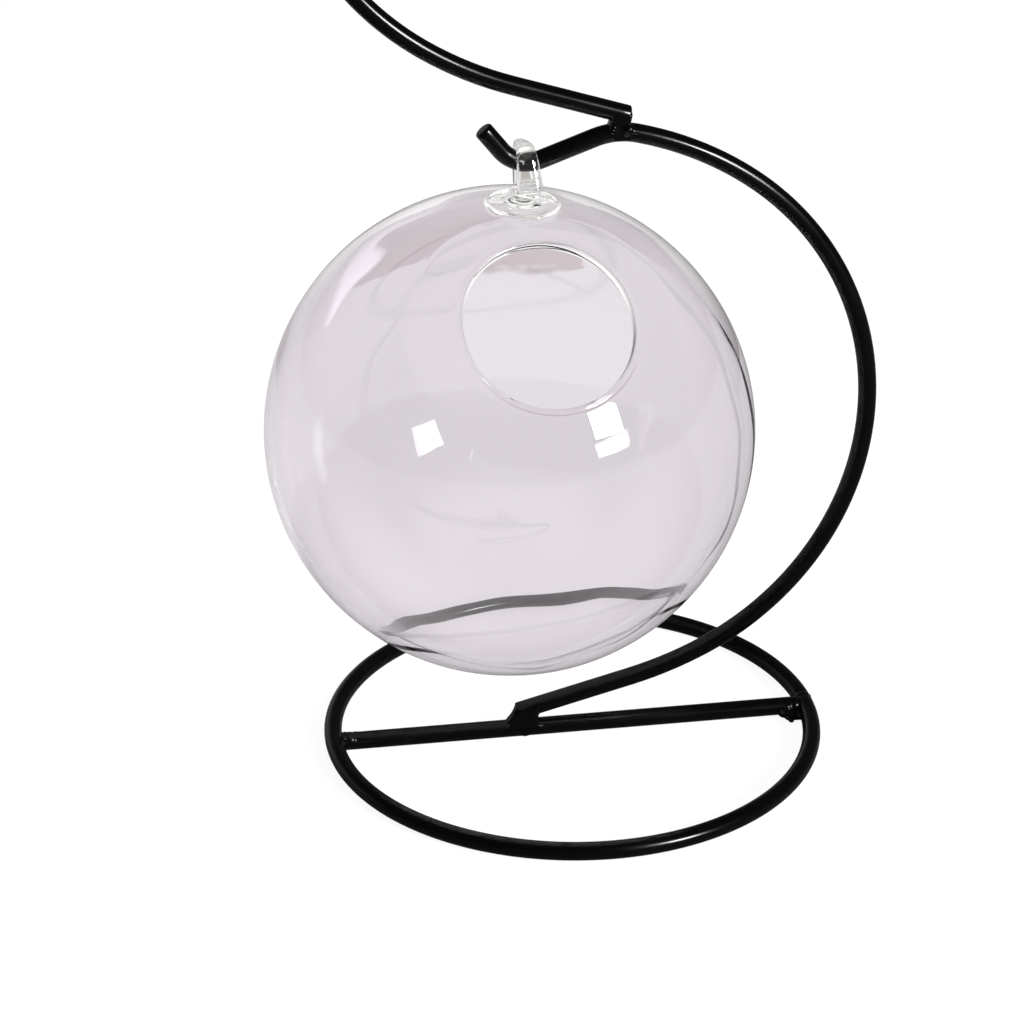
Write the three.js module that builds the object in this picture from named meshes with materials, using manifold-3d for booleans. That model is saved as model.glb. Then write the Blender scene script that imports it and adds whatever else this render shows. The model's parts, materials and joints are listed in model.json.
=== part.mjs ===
// Hanging glass ball vase: a clear blown ball with a round mouth in its side. The ball hangs by a
// loop of glass from a bent rod stand, which is welded up from a ring, a cross bar and two rods.
// Millimetres, +Z up. The origin is the middle of the base ring, on the table under it.
// X runs along the cross bar, the rods lie in the XZ plane, and the mouth faces -Y.
import * as THREE from 'three';
import { mergeVertices } from 'three/addons/utils/BufferGeometryUtils.js';
import Module from 'manifold-3d';

const wasm = await Module();
wasm.setup();

// Rod stock and the clearance that every pair of touching pieces keeps
const rodDiameter = 4.57;
const seatGap = 0.3;
const rodSides = 12;

// Base ring: one rod bent round, its two ends closed by a weld beside the bar's right end
const ringDiameter = 122.9;
const ringJointAngle = 2.1;
const ringJointWidth = 1.8;

// Stem: one rod from the bar, round the right of the ball, over the elbow and down to the hook
const stemFootLeft = 14.2;
const stemFootRise = 14.7;
const stemFootRun = 30;
const stemLowerRadius = 95;
const stemLowerTurn = 10.9;
const stemMainRadius = 74.4;
const stemMainTurn = 119.4;
const stemUpperRadius = 82;
const stemUpperTurn = 21.1;
const elbowRadius = 18;
const elbowTurn = 33.8;
const hookArmRun = 13.4;
const hookRadius = 8.6;
const hookTurn = 71.4;
const hookTipRun = 6.9;

// Upper arm: a second rod that starts on the elbow, sweeps up the left and ends in a like hook
const armSeatHeading = 174.3;
const armSaddleDepth = 0.35;
const armRise = 17.5;
const armFirstRun = 28.9;
const armFirstRadius = 88;
const armFirstTurn = 15.1;
const armMainRadius = 72;
const armMainTurn = 165.1;
const armHookRun = 9;

// Welds
const armWeldLength = 6.2;
const armWeldWidth = 4.4;
const footWeldReach = 2.6;
const footWeldLength = 5.6;
const footWeldWidth = 4.6;
const barWeldDiameter = 6;
const barWeldLength = 3.2;
const ringWeldProud = 0.45;
const ringWeldRise = 0.2;

// Glass ball and its mouth
const ballDiameter = 120;
const mouthWall = 1.9;
const backWall = 2.1;
const mouthWidth = 41.7;
const mouthHeight = 43.5;
const lipThickness = 2.2;
const mouthElevation = 48.3;
const mouthTurn = 1.5;

// Loop and pad of glass on top of the ball
const padDiameter = 18.4;
const padEdge = 1.1;
const padHeight = 4.2;
const padNeckDiameter = 9;
const padForward = 3.8;
const padSideLean = 0.7;
const eyeDrop = 2.3;
const loopWidth = 4.2;
const loopThickness = 2.5;
const loopEyeRoom = 0.8;
const loopSeatGap = 0.6;
const loopLegLean = 8;
const loopLegRun = 5.2;
const loopSideLean = 6.2;

// How the ball hangs: a little up the tip side of the hook, and leaning to its left
const loopPlaceTurn = 6.4;
const sideLean = 3.5;

const rodRadius = rodDiameter / 2;
const ringRadius = ringDiameter / 2;
const ballRadius = ballDiameter / 2;
const radians = THREE.MathUtils.degToRad;
const degrees = THREE.MathUtils.radToDeg;

// A rod's centre line in the XZ plane, written as a wire bender's list: straight runs, and bends
// with a radius and a turn in degrees, where a positive turn goes left.
class RodPath extends THREE.Curve {
  constructor(start, heading, bends) {
    super();
    this.stations = [{ x: start.x, z: start.z, heading }];
    for (const bend of bends) {
      if (bend.run !== undefined) this.addRun(bend.run);
      else this.addBend(bend.radius, bend.turn);
    }
  }

  get last() {
    return this.stations[this.stations.length - 1];
  }

  addRun(length) {
    const { x, z, heading } = this.last;
    const a = radians(heading);
    this.stations.push({ x: x + length * Math.cos(a), z: z + length * Math.sin(a), heading });
  }

  addBend(radius, turn) {
    const { x, z, heading } = this.last;
    const side = Math.sign(turn);
    const longestChord = 5.5;
    const widestStep = 12;
    const arc = radius * radians(Math.abs(turn));
    const steps = Math.ceil(Math.max(arc / longestChord, Math.abs(turn) / widestStep));
    const centreX = x - side * radius * Math.sin(radians(heading));
    const centreZ = z + side * radius * Math.cos(radians(heading));
    for (let i = 1; i <= steps; i += 1) {
      const now = heading + (turn * i) / steps;
      this.stations.push({
        x: centreX + side * radius * Math.sin(radians(now)),
        z: centreZ - side * radius * Math.cos(radians(now)),
        heading: now,
      });
    }
  }

  get steps() {
    return this.stations.length - 1;
  }

  // Even values of t are stations, so an extruded section stands at each bend's own steps.
  getUtoTmapping(u) {
    return u;
  }

  getPoint(t, target = new THREE.Vector3()) {
    const place = Math.min(t * this.steps, this.steps);
    const i = Math.min(Math.floor(place + 1e-6), this.steps - 1);
    const a = this.stations[i];
    const b = this.stations[i + 1];
    const f = place - i;
    return target.set(a.x + (b.x - a.x) * f, 0, a.z + (b.z - a.z) * f);
  }

  getTangent(t, target = new THREE.Vector3()) {
    const place = Math.min(t * this.steps, this.steps);
    const i = Math.min(Math.round(place), this.steps);
    const a = radians(this.stations[i].heading);
    return target.set(Math.cos(a), 0, Math.sin(a));
  }
}

// The point of a bend where the rod has the given heading
function pointAtHeading(bendStart, radius, side, heading) {
  const from = radians(bendStart.heading);
  const to = radians(heading);
  return {
    x: bendStart.x + side * radius * (Math.sin(to) - Math.sin(from)),
    z: bendStart.z - side * radius * (Math.cos(to) - Math.cos(from)),
    heading,
  };
}

// A section with flats on its four quarters, as far apart there as the rod is thick. Its width is
// across the plane of the path and its thickness in that plane.
function roundSection(width, thickness, sides) {
  const grow = 1 / Math.cos(Math.PI / sides);
  const points = [];
  for (let i = 0; i < sides; i += 1) {
    const a = ((i + 0.5) * 2 * Math.PI) / sides;
    const across = (width / 2) * grow * Math.cos(a);
    points.push(new THREE.Vector2(across, (thickness / 2) * grow * Math.sin(a)));
  }
  return new THREE.Shape(points);
}

function sweep(path, section) {
  return new THREE.ExtrudeGeometry(section, { steps: path.steps, extrudePath: path });
}

function rod(path, radius = rodRadius) {
  return sweep(path, roundSection(2 * radius, 2 * radius, rodSides));
}

// A flat plate in the XZ plane, its thickness centred on the plane
function plate(shape, thickness) {
  const geometry = new THREE.ExtrudeGeometry(shape, {
    depth: thickness, bevelEnabled: false, curveSegments: 8,
  });
  return geometry.translate(0, 0, -thickness / 2).rotateX(Math.PI / 2);
}

function toSolid(geometry) {
  const bare = geometry.clone();
  bare.deleteAttribute('normal');
  bare.deleteAttribute('uv');
  const merged = mergeVertices(bare, 1e-4);
  return new wasm.Manifold(new wasm.Mesh({
    numProp: 3,
    vertProperties: Float32Array.from(merged.attributes.position.array),
    triVerts: Uint32Array.from(merged.index.array),
  }));
}

function toGeometry(solid) {
  const mesh = solid.getMesh();
  const geometry = new THREE.BufferGeometry();
  geometry.setAttribute('position', new THREE.BufferAttribute(mesh.vertProperties, 3));
  geometry.setIndex(new THREE.BufferAttribute(mesh.triVerts, 1));
  return geometry;
}

// The room that a straight end of a rod needs, with the seat gap all round and past its end face
function endRoom(start, heading, run) {
  const a = radians(heading);
  const from = { x: start.x - seatGap * Math.cos(a), z: start.z - seatGap * Math.sin(a) };
  return rod(new RodPath(from, heading, [{ run: run + seatGap }]), rodRadius + seatGap);
}

function cutAway(geometry, ...tools) {
  return toGeometry(tools.reduce((left, tool) => left.subtract(toSolid(tool)), toSolid(geometry)));
}

// Where the rods run
const barTop = rodDiameter;
const barLength = ringDiameter - rodDiameter - 2 * seatGap;
const footHeight = barTop + seatGap + rodRadius * Math.cos(radians(stemFootRise));
const stemStart = { x: -stemFootLeft, z: footHeight };
const stemToElbow = [
  { run: stemFootRun },
  { radius: stemLowerRadius, turn: stemLowerTurn },
  { radius: stemMainRadius, turn: stemMainTurn },
  { radius: stemUpperRadius, turn: stemUpperTurn },
];
const stemToHook = [
  ...stemToElbow,
  { radius: elbowRadius, turn: elbowTurn },
  { run: hookArmRun },
];
const stemPath = new RodPath(stemStart, stemFootRise, [
  ...stemToHook,
  { radius: hookRadius, turn: -hookTurn },
  { run: hookTipRun },
]);
const elbowStart = new RodPath(stemStart, stemFootRise, stemToElbow).last;
const hookStart = new RodPath(stemStart, stemFootRise, stemToHook).last;

const armSeat = pointAtHeading(elbowStart, elbowRadius, 1, armSeatHeading);
const armSeatLift = rodDiameter - armSaddleDepth;
const armStart = {
  x: armSeat.x + armSeatLift * Math.sin(radians(armSeatHeading)),
  z: armSeat.z - armSeatLift * Math.cos(radians(armSeatHeading)),
};
const armPath = new RodPath(armStart, 180 - armRise, [
  { run: armFirstRun },
  { radius: armFirstRadius, turn: -armFirstTurn },
  { radius: armMainRadius, turn: -armMainTurn },
  { run: armHookRun },
  { radius: hookRadius, turn: hookTurn },
  { run: hookTipRun },
]);

// Stand
const paintedSteel = new THREE.MeshStandardMaterial({
  name: 'black_painted_steel', color: 0x0d0d0f, roughness: 0.3, metalness: 0.1,
});

function makeBaseRing() {
  const halfJoint = degrees(ringJointWidth / 2 / ringRadius);
  const start = ringJointAngle + halfJoint;
  const path = new RodPath(
    { x: ringRadius * Math.cos(radians(start)), z: ringRadius * Math.sin(radians(start)) },
    start + 90,
    [{ radius: ringRadius, turn: 360 - 2 * halfJoint }],
  );
  return rod(path).rotateX(-Math.PI / 2);
}

function makeBarSolid(radius, length) {
  const path = new RodPath({ x: -length / 2, z: 0 }, 0, [{ run: length }]);
  return rod(path, radius);
}

// The weld that closes the ring: flush with the rod on the ring's inside, proud of it outside
function makeRingWeld() {
  const half = ringJointWidth / 2 - seatGap;
  const crest = rodRadius + ringWeldRise;
  const profile = [
    new THREE.Vector2(0, -half),
    new THREE.Vector2(rodRadius, -half),
    new THREE.Vector2(crest, -half / 3),
    new THREE.Vector2(crest, half / 3),
    new THREE.Vector2(rodRadius, half),
    new THREE.Vector2(0, half),
  ];
  return new THREE.LatheGeometry(profile, 20);
}

const tableTop = new THREE.BoxGeometry(2 * ringDiameter, 2 * ringDiameter, rodDiameter);
tableTop.translate(0, 0, -rodDiameter / 2 + seatGap / 2);

// The bead between the bar's end and the ring: a low bulge round the bar, trimmed off both
function makeBarWeld(side) {
  const profile = [
    new THREE.Vector2(0, -barWeldLength / 2),
    new THREE.Vector2(barWeldDiameter / 2 - 0.6, -barWeldLength / 2),
    new THREE.Vector2(barWeldDiameter / 2, -barWeldLength / 6),
    new THREE.Vector2(barWeldDiameter / 2, barWeldLength / 6),
    new THREE.Vector2(barWeldDiameter / 2 - 0.3, barWeldLength / 2),
    new THREE.Vector2(0, barWeldLength / 2),
  ];
  const bead = new THREE.LatheGeometry(profile, 20).rotateZ(-side * Math.PI / 2);
  bead.translate(side * (barLength / 2 - barWeldLength / 4), 0, rodRadius + seatGap);
  const barRoom = makeBarSolid(rodRadius + seatGap, barLength + 2 * seatGap).translate(0, 0, rodRadius);
  const ringRoom = new THREE.TorusGeometry(ringRadius, rodRadius + 1.25 * seatGap, 24, 144);
  ringRoom.translate(0, 0, rodRadius);
  return cutAway(bead, barRoom, ringRoom, tableTop);
}

function makeStemFootWeld() {
  const foot = stemPath.stations[0];
  const top = {
    x: foot.x - rodRadius * Math.sin(radians(stemFootRise)),
    z: foot.z + rodRadius * Math.cos(radians(stemFootRise)),
  };
  const along = Math.tan(radians(stemFootRise));
  const toe = foot.x - footWeldReach;
  const shape = new THREE.Shape();
  shape.moveTo(toe, rodRadius);
  shape.lineTo(foot.x + footWeldLength, rodRadius);
  shape.lineTo(foot.x + footWeldLength, foot.z + footWeldLength * along);
  shape.lineTo(top.x, top.z - seatGap);
  shape.quadraticCurveTo(top.x - 0.1 * footWeldReach, barTop + seatGap, toe, barTop + seatGap);
  const web = plate(shape, footWeldWidth);
  const barRoom = makeBarSolid(rodRadius + seatGap, barLength).translate(0, 0, rodRadius);
  return cutAway(web, endRoom(foot, stemFootRise, stemFootRun), barRoom);
}

function makeUpperArm() {
  return cutAway(rod(armPath), rod(stemPath, rodRadius + seatGap));
}

function makeArmWeld() {
  const back = radians(180 - armRise);
  const far = {
    x: armStart.x + armWeldLength * Math.cos(back),
    z: armStart.z + armWeldLength * Math.sin(back),
  };
  const shape = new THREE.Shape();
  shape.moveTo(armSeat.x, armSeat.z);
  shape.lineTo(armStart.x, armStart.z);
  shape.lineTo(far.x, far.z);
  shape.quadraticCurveTo(far.x + 0.25 * armWeldLength, (far.z + armSeat.z) / 2, far.x, armSeat.z);
  const web = plate(shape, armWeldWidth);
  const stemRoom = rod(stemPath, rodRadius + seatGap);
  return cutAway(web, stemRoom, endRoom(armStart, 180 - armRise, armFirstRun));
}

// Glass
const clearGlass = new THREE.MeshStandardMaterial({
  name: 'clear_glass', color: 0xe6e2e6, roughness: 0.03, metalness: 0, transparent: true, opacity: 0.4,
});

// Outer wall, rounded lip, then inner wall, turned about the mouth's own axis. The wall grows from
// mouthWall at the mouth to backWall opposite it, because the inner round sits nearer the mouth.
function makeBall() {
  const meanWall = (mouthWall + backWall) / 2;
  const innerShift = (backWall - mouthWall) / 2;
  const innerRadius = ballRadius - meanWall;
  const lipCentre = ballRadius - meanWall / 2;
  const widthAngle = Math.asin(mouthWidth / 2 / lipCentre);
  const heightAngle = Math.asin(mouthHeight / 2 / lipCentre);
  const mouthAngle = (widthAngle + heightAngle) / 2;
  const lipRadius = lipThickness / 2;
  const wallSteps = 26;
  const lipSteps = 6;
  const profile = [];
  const wallEnd = mouthAngle + lipRadius / ballRadius;
  for (let i = 0; i <= wallSteps; i += 1) {
    const a = Math.PI - ((Math.PI - wallEnd) * i) / wallSteps;
    profile.push(new THREE.Vector2(ballRadius * Math.sin(a), ballRadius * Math.cos(a)));
  }
  for (let i = 1; i < lipSteps; i += 1) {
    const turn = (Math.PI * i) / lipSteps;
    const away = lipCentre + lipRadius * Math.cos(turn);
    const a = mouthAngle - (lipRadius * Math.sin(turn)) / ballRadius;
    profile.push(new THREE.Vector2(away * Math.sin(a), away * Math.cos(a)));
  }
  for (let i = 0; i <= wallSteps; i += 1) {
    const a = wallEnd + ((Math.PI - wallEnd) * i) / wallSteps;
    profile.push(new THREE.Vector2(innerRadius * Math.sin(a), innerShift + innerRadius * Math.cos(a)));
  }
  profile[0].x = 0;
  profile[profile.length - 1].x = 0;
  const ball = new THREE.LatheGeometry(profile, 48);
  stretchMouth(ball, mouthAngle, (heightAngle - widthAngle) / 2);
  return ball.rotateX(Math.PI - radians(mouthElevation));
}

// The mouth is a little taller than wide, so points near it slide along the ball's surface.
function stretchMouth(geometry, mouthAngle, stretch) {
  const position = geometry.attributes.position;
  const fadeAngle = 1.6 * mouthAngle;
  const point = new THREE.Vector3();
  for (let i = 0; i < position.count; i += 1) {
    point.fromBufferAttribute(position, i);
    const far = point.length();
    const polar = Math.acos(THREE.MathUtils.clamp(point.y / far, -1, 1));
    const round = Math.atan2(point.z, point.x);
    const fade = 1 - THREE.MathUtils.smoothstep(polar, mouthAngle, mouthAngle + fadeAngle);
    const moved = polar - stretch * fade * Math.cos(2 * round);
    point.set(Math.sin(moved) * Math.cos(round), Math.cos(moved), Math.sin(moved) * Math.sin(round));
    point.multiplyScalar(far);
    position.setXYZ(i, point.x, point.y, point.z);
  }
}

// Distance from the ball's centre to the middle of the rod it hangs on
const pivotHeight = ballRadius + padHeight + eyeDrop + rodRadius;

// Pad: its underside follows the ball. Its edge is rounded, and it sweeps in to the loop's foot.
function padProfile(grow) {
  const under = ballRadius + seatGap - grow;
  const reach = padDiameter / 2 + grow;
  const reachAngle = Math.asin(reach / under);
  const profile = [];
  const underSteps = 5;
  for (let i = 0; i <= underSteps; i += 1) {
    const a = (reachAngle * i) / underSteps;
    profile.push(new THREE.Vector2(under * Math.sin(a), under * Math.cos(a)));
  }
  const rim = under * Math.cos(reachAngle);
  const neck = padNeckDiameter / 2 + grow;
  const top = ballRadius + padHeight + grow;
  const skirt = new THREE.QuadraticBezierCurve(
    new THREE.Vector2(reach - 0.4 * padEdge, rim + padEdge + grow),
    new THREE.Vector2(0.75 * neck + 0.25 * reach, rim + 1.7 * padEdge + grow),
    new THREE.Vector2(neck, top - 0.4 * padEdge),
  );
  profile.push(new THREE.Vector2(reach + 0.2 * padEdge, rim + 0.5 * padEdge));
  profile.push(...skirt.getPoints(5));
  profile.push(new THREE.Vector2(0.6 * neck, top));
  profile.push(new THREE.Vector2(0, top));
  profile[0].x = 0;
  return profile;
}

// The pad sits a little forward of the ball's top, and to its left.
function makePad(grow = 0) {
  const turned = new THREE.LatheGeometry(padProfile(grow), 32).rotateX(Math.PI / 2);
  return turned.rotateX(radians(padForward)).rotateY(-radians(padSideLean));
}

// Loop: an upside-down U round the rod, leaning forward to stand with its two feet on the pad
function makeLoop() {
  const archRadius = rodRadius + loopEyeRoom + loopThickness / 2;
  const heading = 90 + loopLegLean;
  const a = radians(heading);
  const start = {
    x: -archRadius * Math.sin(a) - loopLegRun * Math.cos(a),
    z: archRadius * Math.cos(a) - loopLegRun * Math.sin(a),
  };
  const path = new RodPath(start, heading, [
    { run: loopLegRun },
    { radius: archRadius, turn: -(180 + 2 * loopLegLean) },
    { run: loopLegRun },
  ]);
  const padAhead = ballRadius * Math.sin(radians(padForward));
  const padBelow = pivotHeight - ballRadius * Math.cos(radians(padForward));
  const arch = sweep(path, roundSection(loopWidth, loopThickness, 12)).rotateZ(Math.PI / 2);
  arch.translate(0, 0, loopSeatGap - loopEyeRoom);
  arch.rotateX(-Math.atan(padAhead / padBelow)).rotateY(-radians(loopSideLean));
  arch.translate(0, 0, pivotHeight);
  return cutAway(arch, makePad(seatGap));
}

// Volume and centre of mass of a closed mesh, from the tetrahedra that its triangles make
function massOf(mesh) {
  mesh.updateMatrix();
  const geometry = mesh.geometry.clone().applyMatrix4(mesh.matrix);
  const flat = geometry.index ? geometry.toNonIndexed() : geometry;
  const position = flat.attributes.position;
  const corners = [new THREE.Vector3(), new THREE.Vector3(), new THREE.Vector3()];
  const centre = new THREE.Vector3();
  let volume = 0;
  for (let i = 0; i < position.count; i += 3) {
    corners.forEach((corner, k) => corner.fromBufferAttribute(position, i + k));
    const piece = corners[0].dot(corners[1].clone().cross(corners[2])) / 6;
    volume += piece;
    for (const corner of corners) centre.addScaledVector(corner, piece / 4);
  }
  return { volume, centre: centre.divideScalar(volume) };
}

function add(group, name, geometry, material) {
  const mesh = new THREE.Mesh(geometry, material);
  mesh.name = name;
  group.add(mesh);
  return mesh;
}

const vase = new THREE.Group();

const stand = new THREE.Group();
vase.add(stand);
add(stand, 'base_ring', makeBaseRing(), paintedSteel).position.z = rodRadius;
add(stand, 'cross_bar', makeBarSolid(rodRadius, barLength), paintedSteel).position.z = rodRadius;
const ringWeld = add(stand, 'ring_closing_weld', makeRingWeld(), paintedSteel);
const ringWeldRadius = ringRadius + ringWeldProud - ringWeldRise;
ringWeld.position.set(
  ringWeldRadius * Math.cos(radians(ringJointAngle)),
  ringWeldRadius * Math.sin(radians(ringJointAngle)),
  rodRadius + ringWeldRise,
);
ringWeld.rotation.z = radians(ringJointAngle);
add(stand, 'bar_weld_left', makeBarWeld(-1), paintedSteel);
add(stand, 'bar_weld_right', makeBarWeld(1), paintedSteel);
add(stand, 'stem_rod', rod(stemPath), paintedSteel);
add(stand, 'stem_foot_weld', makeStemFootWeld(), paintedSteel);
add(stand, 'upper_arm_rod', makeUpperArm(), paintedSteel);
add(stand, 'arm_weld', makeArmWeld(), paintedSteel);

// The glass turns about the hook, so its group stands at the hook's rod and hangs down from it.
const glass = new THREE.Group();
vase.add(glass);
const ball = add(glass, 'glass_ball', makeBall(), clearGlass);
ball.position.z = -pivotHeight;
ball.rotation.z = radians(mouthTurn);
const pad = add(glass, 'loop_pad', makePad(), clearGlass);
pad.position.z = -pivotHeight;
const loop = add(glass, 'hanging_loop', makeLoop(), clearGlass);
loop.position.z = -pivotHeight;

// It comes to rest with its centre of mass straight under the hook.
const masses = [ball, pad, loop].map(massOf);
const glassVolume = masses.reduce((sum, part) => sum + part.volume, 0);
const balance = new THREE.Vector3();
for (const part of masses) balance.addScaledVector(part.centre, part.volume / glassVolume);
const hookPoint = pointAtHeading(hookStart, hookRadius, -1, 180 - loopPlaceTurn);
glass.position.set(hookPoint.x, 0, hookPoint.z);
glass.rotation.order = 'YXZ';
glass.rotation.x = Math.atan(balance.y / balance.z);
glass.rotation.y = radians(sideLean);

export default vase;
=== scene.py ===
import bmesh
import bpy
import json
import math
from mathutils import Matrix, Vector, noise


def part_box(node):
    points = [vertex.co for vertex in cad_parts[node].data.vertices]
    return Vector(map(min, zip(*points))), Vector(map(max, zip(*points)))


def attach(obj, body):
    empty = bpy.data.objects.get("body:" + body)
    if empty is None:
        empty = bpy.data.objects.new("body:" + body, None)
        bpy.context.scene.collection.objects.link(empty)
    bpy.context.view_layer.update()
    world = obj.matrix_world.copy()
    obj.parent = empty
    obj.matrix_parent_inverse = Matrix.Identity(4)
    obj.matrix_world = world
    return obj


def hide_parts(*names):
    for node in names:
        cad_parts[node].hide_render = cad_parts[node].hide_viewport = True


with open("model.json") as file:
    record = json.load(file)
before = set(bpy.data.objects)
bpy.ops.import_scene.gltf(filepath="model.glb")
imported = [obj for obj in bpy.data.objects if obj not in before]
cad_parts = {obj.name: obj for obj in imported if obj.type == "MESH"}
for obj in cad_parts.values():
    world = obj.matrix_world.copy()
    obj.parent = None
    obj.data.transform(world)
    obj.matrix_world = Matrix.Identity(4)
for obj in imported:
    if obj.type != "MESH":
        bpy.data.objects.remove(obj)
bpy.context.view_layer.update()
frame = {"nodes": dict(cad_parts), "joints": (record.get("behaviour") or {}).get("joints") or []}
mm = 0.001
print("frame loaded:", len(frame["nodes"]), "nodes")


# Small helpers
def toObject(name, bm):
    mesh = bpy.data.meshes.new(name)
    bm.to_mesh(mesh)
    bm.free()
    piece = bpy.data.objects.new(name, mesh)
    bpy.context.scene.collection.objects.link(piece)
    return piece


def applyModifiers(piece):
    graph = bpy.context.evaluated_depsgraph_get()
    done = bpy.data.meshes.new_from_object(piece.evaluated_get(graph))
    done.name = piece.name
    piece.modifiers.clear()
    piece.data = done


def shadeSmooth(piece, sharpAngle=50):
    bm = bmesh.new()
    bm.from_mesh(piece.data)
    for face in bm.faces:
        face.smooth = True
    for edge in bm.edges:
        edge.smooth = not edge.is_manifold or edge.calc_face_angle(0) < math.radians(sharpAngle)
    bm.to_mesh(piece.data)
    bm.free()


def cleaned(bm, distance=0.002):
    bmesh.ops.remove_doubles(bm, verts=bm.verts, dist=distance * mm)
    bmesh.ops.recalc_face_normals(bm, faces=bm.faces)
    return bm


def finishPiece(piece, body, nodes, material, sharpAngle=50):
    shadeSmooth(piece, sharpAngle)
    piece.data.materials.clear()
    piece.data.materials.append(material)
    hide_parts(*nodes)
    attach(piece, body)
    return piece


def nodeTree(name):
    material = bpy.data.materials.new(name)
    material.use_nodes = True
    tree = material.node_tree
    tree.nodes.clear()
    return material, tree


def addNode(tree, kind, **settings):
    node = tree.nodes.new(kind)
    for key, value in settings.items():
        if key in node.inputs:
            node.inputs[key].default_value = value
        else:
            setattr(node, key, value)
    return node


def noiseOn(tree, coordinate, scale, detail=2.0, roughness=0.5):
    node = addNode(tree, "ShaderNodeTexNoise")
    node.inputs["Scale"].default_value = scale
    node.inputs["Detail"].default_value = detail
    node.inputs["Roughness"].default_value = roughness
    tree.links.new(coordinate, node.inputs["Vector"])
    return node.outputs["Fac"]


def remap(tree, value, low, high, toLow, toHigh):
    node = addNode(tree, "ShaderNodeMapRange")
    node.inputs["From Min"].default_value = low
    node.inputs["From Max"].default_value = high
    node.inputs["To Min"].default_value = toLow
    node.inputs["To Max"].default_value = toHigh
    tree.links.new(value, node.inputs["Value"])
    return node.outputs["Result"]


def mixColours(tree, factor, first, second):
    node = addNode(tree, "ShaderNodeMix", data_type="RGBA")
    tree.links.new(factor, node.inputs[0])
    for socket, colour in ((node.inputs[6], first), (node.inputs[7], second)):
        if isinstance(colour, tuple):
            socket.default_value = colour
        else:
            tree.links.new(colour, socket)
    return node.outputs[2]


def maths(tree, operation, first, second):
    node = addNode(tree, "ShaderNodeMath", operation=operation)
    for socket, value in zip(node.inputs, (first, second)):
        if isinstance(value, (int, float)):
            socket.default_value = value
        else:
            tree.links.new(value, socket)
    return node.outputs[0]


def stepUp(tree, value, at, soft):
    return remap(tree, value, at - soft, at + soft, 0, 1)


def throughGlass(tree, path):
    return maths(tree, "GREATER_THAN", path.outputs["Transmission Depth"], 0.5)


def addBump(tree, shader, height, strength, distance):
    bump = addNode(tree, "ShaderNodeBump")
    bump.inputs["Strength"].default_value = strength
    bump.inputs["Distance"].default_value = distance * mm
    tree.links.new(height, bump.inputs["Height"])
    tree.links.new(bump.outputs["Normal"], shader.inputs["Normal"])


# Black paint on the rods: nearly black, glossy, with a fine orange peel
paint = dict(dark=(0.0005, 0.0005, 0.0006, 1), light=(0.0012, 0.0012, 0.0014, 1), shine=0.2,
             roughLow=0.16, roughHigh=0.23, patchScale=60, patchLow=0.3, patchHigh=0.7,
             peelScale=900, peelStrength=0.01, peelDepth=0.1)


def makePaint():
    material, tree = nodeTree("glossBlackPaint")
    place = addNode(tree, "ShaderNodeTexCoord").outputs["Object"]
    patches = noiseOn(tree, place, paint["patchScale"], 4)
    rough = remap(tree, patches, paint["patchLow"], paint["patchHigh"], paint["roughLow"], paint["roughHigh"])
    shader = addNode(tree, "ShaderNodeBsdfPrincipled")
    tree.links.new(mixColours(tree, patches, paint["dark"], paint["light"]), shader.inputs["Base Color"])
    tree.links.new(rough, shader.inputs["Roughness"])
    shader.inputs["Specular IOR Level"].default_value = paint["shine"]
    peel = noiseOn(tree, place, paint["peelScale"], 2)
    addBump(tree, shader, peel, paint["peelStrength"], paint["peelDepth"])
    out = addNode(tree, "ShaderNodeOutputMaterial")
    tree.links.new(shader.outputs["BSDF"], out.inputs["Surface"])
    return material


# Blown glass: the wall has a faint lilac grey cast, the lip, pad and loop are clearer and greener. They start
# where the glass stands proud of the ball. Shadow rays go straight through, and so does light that has turned
# in the wall mostTurns times.
glassLook = dict(wall=(0.95, 0.935, 0.955, 1), thick=(0.94, 0.965, 0.93, 1), ior=1.5, mostTurns=3,
                 thickFrom=0.15, thickTo=0.6, waveScale=45, waveStrength=0.05, waveDepth=1,
                 shadow=(0.93, 0.92, 0.935, 1))


def makeGlass(ballCentre, ballRadius):
    material, tree = nodeTree("blownGlass")
    place = addNode(tree, "ShaderNodeTexCoord").outputs["Object"]
    apart = addNode(tree, "ShaderNodeVectorMath", operation="SUBTRACT")
    tree.links.new(place, apart.inputs[0])
    apart.inputs[1].default_value = ballCentre
    far = addNode(tree, "ShaderNodeVectorMath", operation="LENGTH")
    tree.links.new(apart.outputs["Vector"], far.inputs[0])
    thick = remap(tree, far.outputs["Value"], (ballRadius + glassLook["thickFrom"]) * mm,
                  (ballRadius + glassLook["thickTo"]) * mm, 0, 1)
    shader = addNode(tree, "ShaderNodeBsdfPrincipled")
    colour = mixColours(tree, thick, glassLook["wall"], glassLook["thick"])
    tree.links.new(colour, shader.inputs["Base Color"])
    shader.inputs["Roughness"].default_value = 0.0
    shader.inputs["IOR"].default_value = glassLook["ior"]
    shader.inputs["Transmission Weight"].default_value = 1.0
    wave = noiseOn(tree, place, glassLook["waveScale"], 1)
    addBump(tree, shader, wave, glassLook["waveStrength"], glassLook["waveDepth"])
    path = addNode(tree, "ShaderNodeLightPath")
    caught = maths(tree, "GREATER_THAN", path.outputs["Glossy Depth"], glassLook["mostTurns"] - 0.5)
    passes = maths(tree, "MAXIMUM", path.outputs["Is Shadow Ray"], caught)
    clear = addNode(tree, "ShaderNodeBsdfTransparent")
    clear.inputs["Color"].default_value = glassLook["shadow"]
    either = addNode(tree, "ShaderNodeMixShader")
    tree.links.new(passes, either.inputs[0])
    tree.links.new(shader.outputs["BSDF"], either.inputs[1])
    tree.links.new(clear.outputs["BSDF"], either.inputs[2])
    out = addNode(tree, "ShaderNodeOutputMaterial")
    tree.links.new(either.outputs["Shader"], out.inputs["Surface"])
    return material


blackPaint = makePaint()
print("paint made")


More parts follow.
